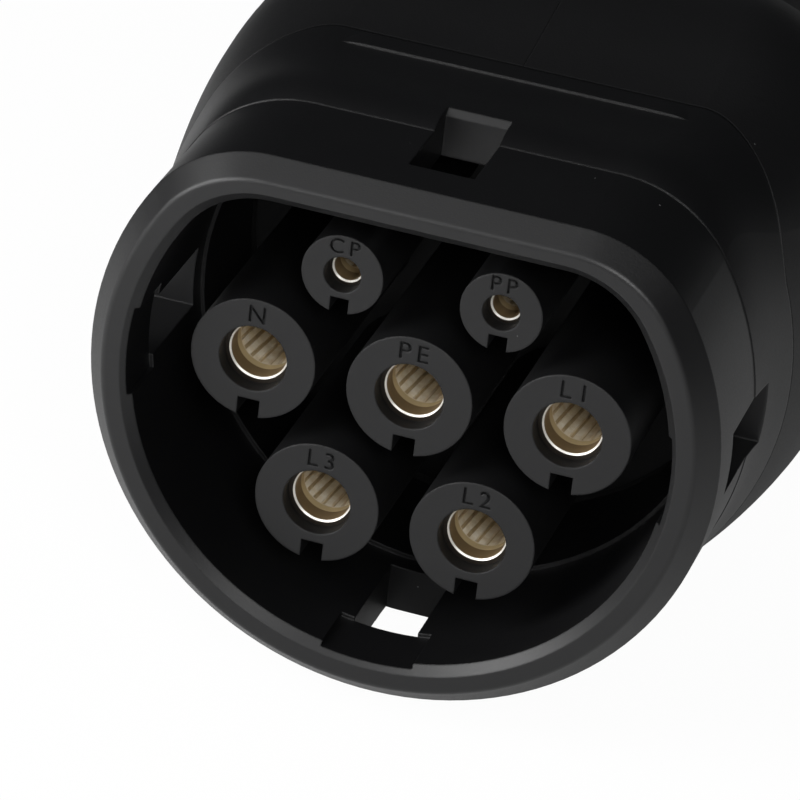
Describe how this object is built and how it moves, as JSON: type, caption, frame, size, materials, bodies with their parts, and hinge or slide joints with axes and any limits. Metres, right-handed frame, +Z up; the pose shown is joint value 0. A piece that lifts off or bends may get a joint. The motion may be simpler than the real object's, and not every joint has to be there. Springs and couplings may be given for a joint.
{
  "type": "ev charging plug",
  "caption": "Handheld vehicle charging plug with a D-shaped nose, keyed contact towers with brass sockets, a two-shell grip and a rear cord gland.",
  "frame": {"origin": "on the axis of the earth (PE) socket, in the plane of the contact tower fronts", "axes": "+X to the right seen from the front, +Y back towards the cord gland, +Z up to the flat side of the nose"},
  "size_m": [0.0764, 0.1973, 0.0632],
  "materials": {
    "shroud_plastic": "fine moulded texture, satin black",
    "carrier_plastic": "fine moulded texture, satin black",
    "housing_plastic": "fine moulded texture, satin black",
    "gland_plastic": "moulded, satin black",
    "seal_rubber": "dull black rubber",
    "socket_brass": "turned, satin",
    "band_brass": "rolled strip, satin",
    "screw_steel": "zinc plated",
    "resistor_coat": "lacquered"
  },
  "bodies": {
    "root": {"cable_clamp": "carrier_plastic", "carrier_seal": "seal_rubber", "clamp_screws": "screw_steel", "contact_carrier": "carrier_plastic", "contact_retainer": "carrier_plastic", "gland_body": "gland_plastic", "gland_locknut": "gland_plastic", "gland_nut": "gland_plastic", "gland_seal": "seal_rubber", "housing_left": "housing_plastic", "housing_right": "housing_plastic", "housing_screws": "screw_steel", "nose_shroud": "shroud_plastic", "pp_resistor": "resistor_coat", "retainer_screws": "screw_steel", "socket_cp": "socket_brass", "socket_l1": "socket_brass", "socket_l2": "socket_brass", "socket_l3": "socket_brass", "socket_n": "socket_brass", "socket_pe": "socket_brass", "socket_pp": "socket_brass", "spring_band_cp": "band_brass", "spring_band_l1": "band_brass", "spring_band_l2": "band_brass", "spring_band_l3": "band_brass", "spring_band_n": "band_brass", "spring_band_pe": "band_brass", "spring_band_pp": "band_brass"}
  },
  "joints": []
}
